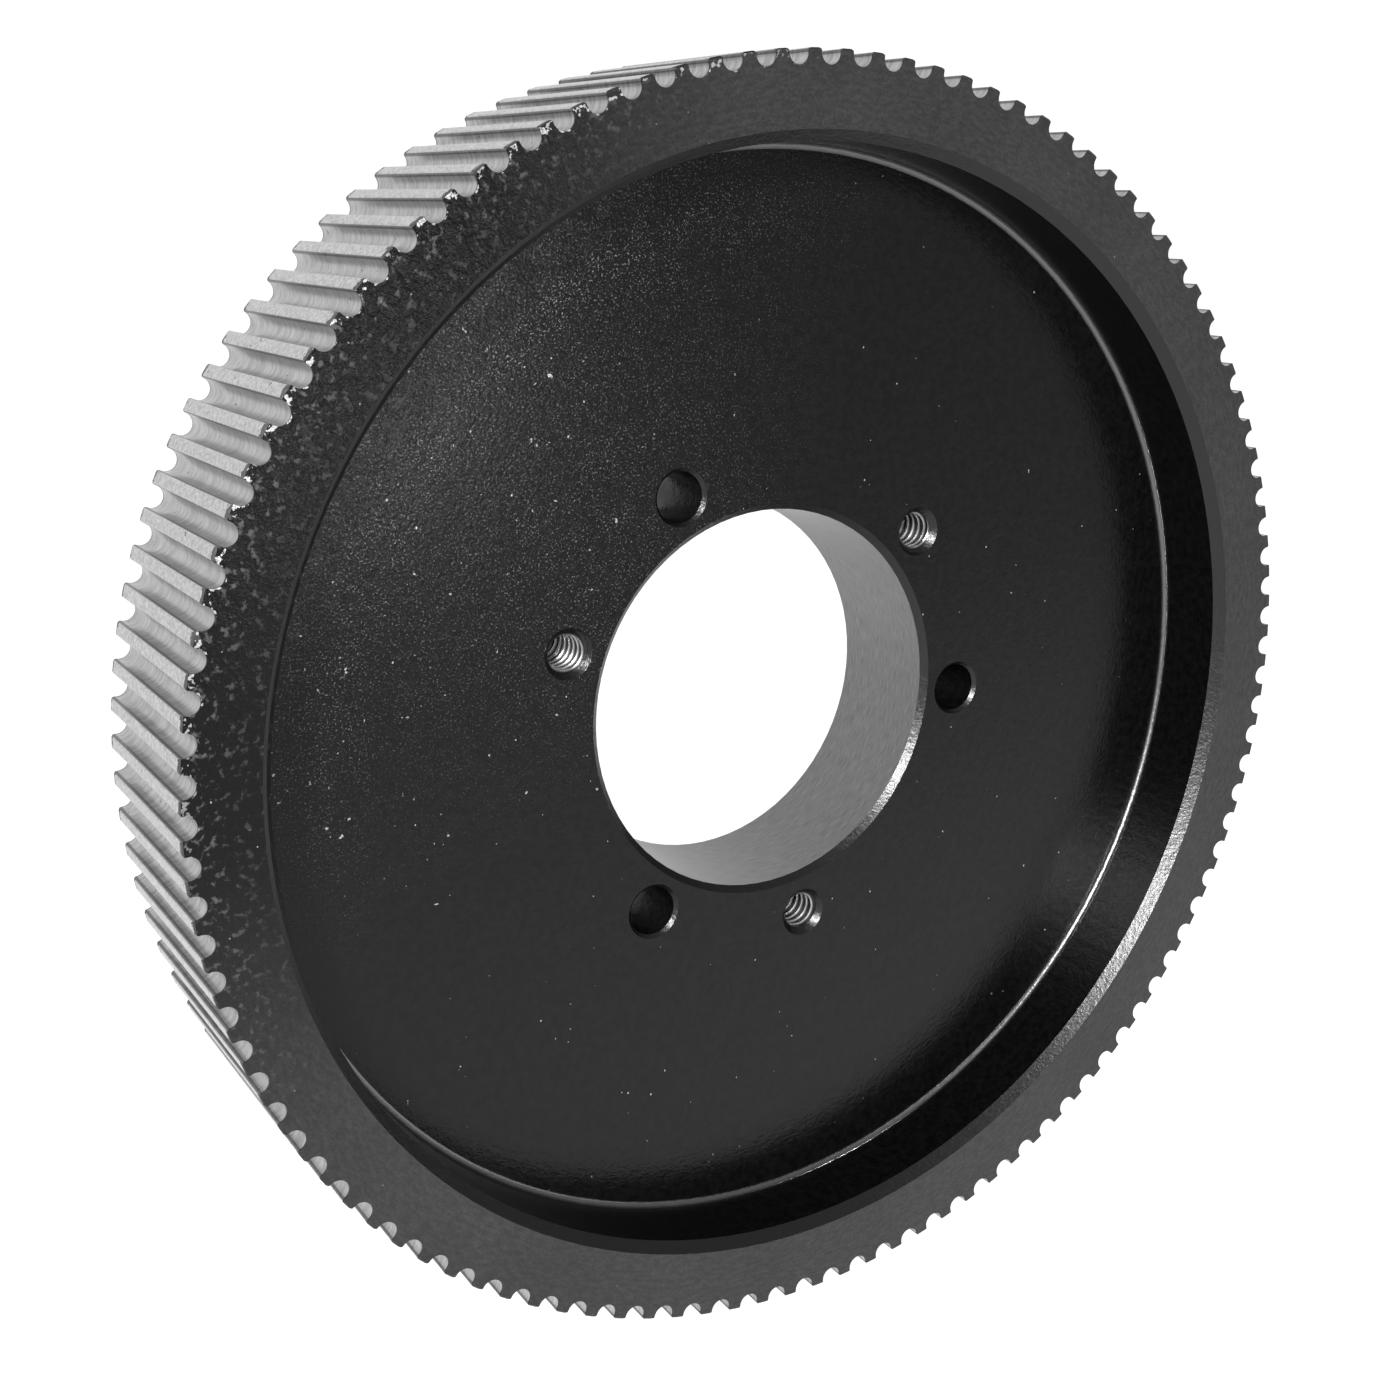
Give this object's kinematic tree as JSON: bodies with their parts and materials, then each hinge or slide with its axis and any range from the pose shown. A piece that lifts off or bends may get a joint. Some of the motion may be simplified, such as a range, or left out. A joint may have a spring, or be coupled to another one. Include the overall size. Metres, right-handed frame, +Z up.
{
  "type": "timing belt pulley",
  "caption": "Synchronous-belt pulley with fine round-bottomed grooves across its rim, a plain web recessed from the front, and a tapered bore with drilled and tapped holes round it for a quick-detachable bushing.",
  "frame": {"origin": "on the shaft axis, at the middle of the rim's width", "axes": "Y is the shaft axis, and the recessed front with the wide end of the bore faces -Y; Z is up and X to the right as seen from the front, with the middle of one groove on +X"},
  "size_m": [0.177, 0.0308, 0.177],
  "materials": {
    "coated_iron": "satin black coating on the turned faces, with bare machined metal on the teeth, in the bore and on the threads"
  },
  "bodies": {
    "root": {"pulley": "coated_iron"}
  },
  "joints": []
}
